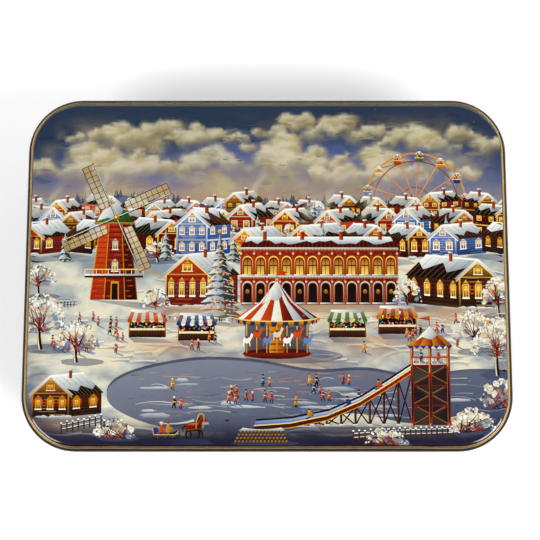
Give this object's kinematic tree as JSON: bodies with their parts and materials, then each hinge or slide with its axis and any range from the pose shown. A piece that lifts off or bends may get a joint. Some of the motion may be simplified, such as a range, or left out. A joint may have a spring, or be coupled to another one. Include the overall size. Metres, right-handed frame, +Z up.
{
  "type": "lacquer box",
  "caption": "Shallow lacquered papier-mache box with rounded corners, a red lined well and a crowned lid on a hidden knuckle hinge; the lid carries a painted winter scene inside a gold line.",
  "frame": {"origin": "middle of the underside, on the table", "axes": "+X along the long side to the right, +Y from the front to the hinge at the back, +Z up"},
  "size_m": [0.15, 0.11, 0.045],
  "materials": {
    "black_lacquer": "gloss",
    "red_lacquer": "gloss",
    "hinge_brass": "satin",
    "hinge_steel": "satin"
  },
  "bodies": {
    "box": {"body_wall": "black_lacquer", "base_panel": "black_lacquer", "inner_lining": "red_lacquer", "hinge_pin": "hinge_steel", "body_knuckle_left": "hinge_brass", "body_knuckle_middle": "hinge_brass", "body_knuckle_right": "hinge_brass"},
    "lid": {"lid_rim": "black_lacquer", "lid_panel": "black_lacquer", "lid_knuckle_left": "hinge_brass", "lid_knuckle_right": "hinge_brass"}
  },
  "joints": [
    {"name": "lid_hinge", "type": "hinge", "parent": "box", "child": "lid", "pos_m": [0, 0.0534, 0.031], "axis": [-1, 0, 0], "range_deg": [0, 100]}
  ]
}
